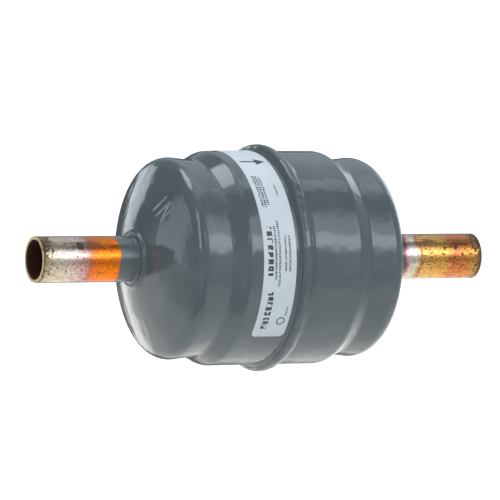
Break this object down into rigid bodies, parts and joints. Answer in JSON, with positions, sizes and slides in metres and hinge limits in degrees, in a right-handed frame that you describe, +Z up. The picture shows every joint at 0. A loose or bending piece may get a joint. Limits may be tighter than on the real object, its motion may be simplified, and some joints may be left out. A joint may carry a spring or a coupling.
{
  "type": "filter drier",
  "caption": "Hermetic liquid-line filter drier: waisted steel shell with a belled seam round the middle, copper tube stubs and a spring-held moulded desiccant core.",
  "frame": {"origin": "on the axis, half way between the stub mouths", "axes": "+X along the axis from the inlet to the outlet, the way the liquid flows; +Z up as the picture shows it, with the front of the label towards -Y"},
  "size_m": [0.136, 0.063, 0.063],
  "materials": {
    "shell_paint": "gloss slate-grey paint on drawn steel",
    "stub_copper": null,
    "braze_filler": "copper-silver brazing filler, painted over",
    "label_film": null,
    "bare_steel": "bare spring and plate steel",
    "fibre_pad": "pressed fibre",
    "desiccant": "moulded porous molecular-sieve and alumina block"
  },
  "bodies": {
    "root": {"inlet_shell_half": "shell_paint", "outlet_shell_half": "shell_paint", "seam_weld": "shell_paint", "inlet_stub": "stub_copper", "outlet_stub": "stub_copper", "inlet_braze_ring": "braze_filler", "outlet_braze_ring": "braze_filler", "data_label": "label_film", "core_spring": "bare_steel", "spring_plate": "bare_steel", "inlet_cushion": "fibre_pad", "desiccant_core": "desiccant", "filter_pad": "fibre_pad", "outlet_screen": "bare_steel", "outlet_plate": "bare_steel"}
  },
  "joints": []
}
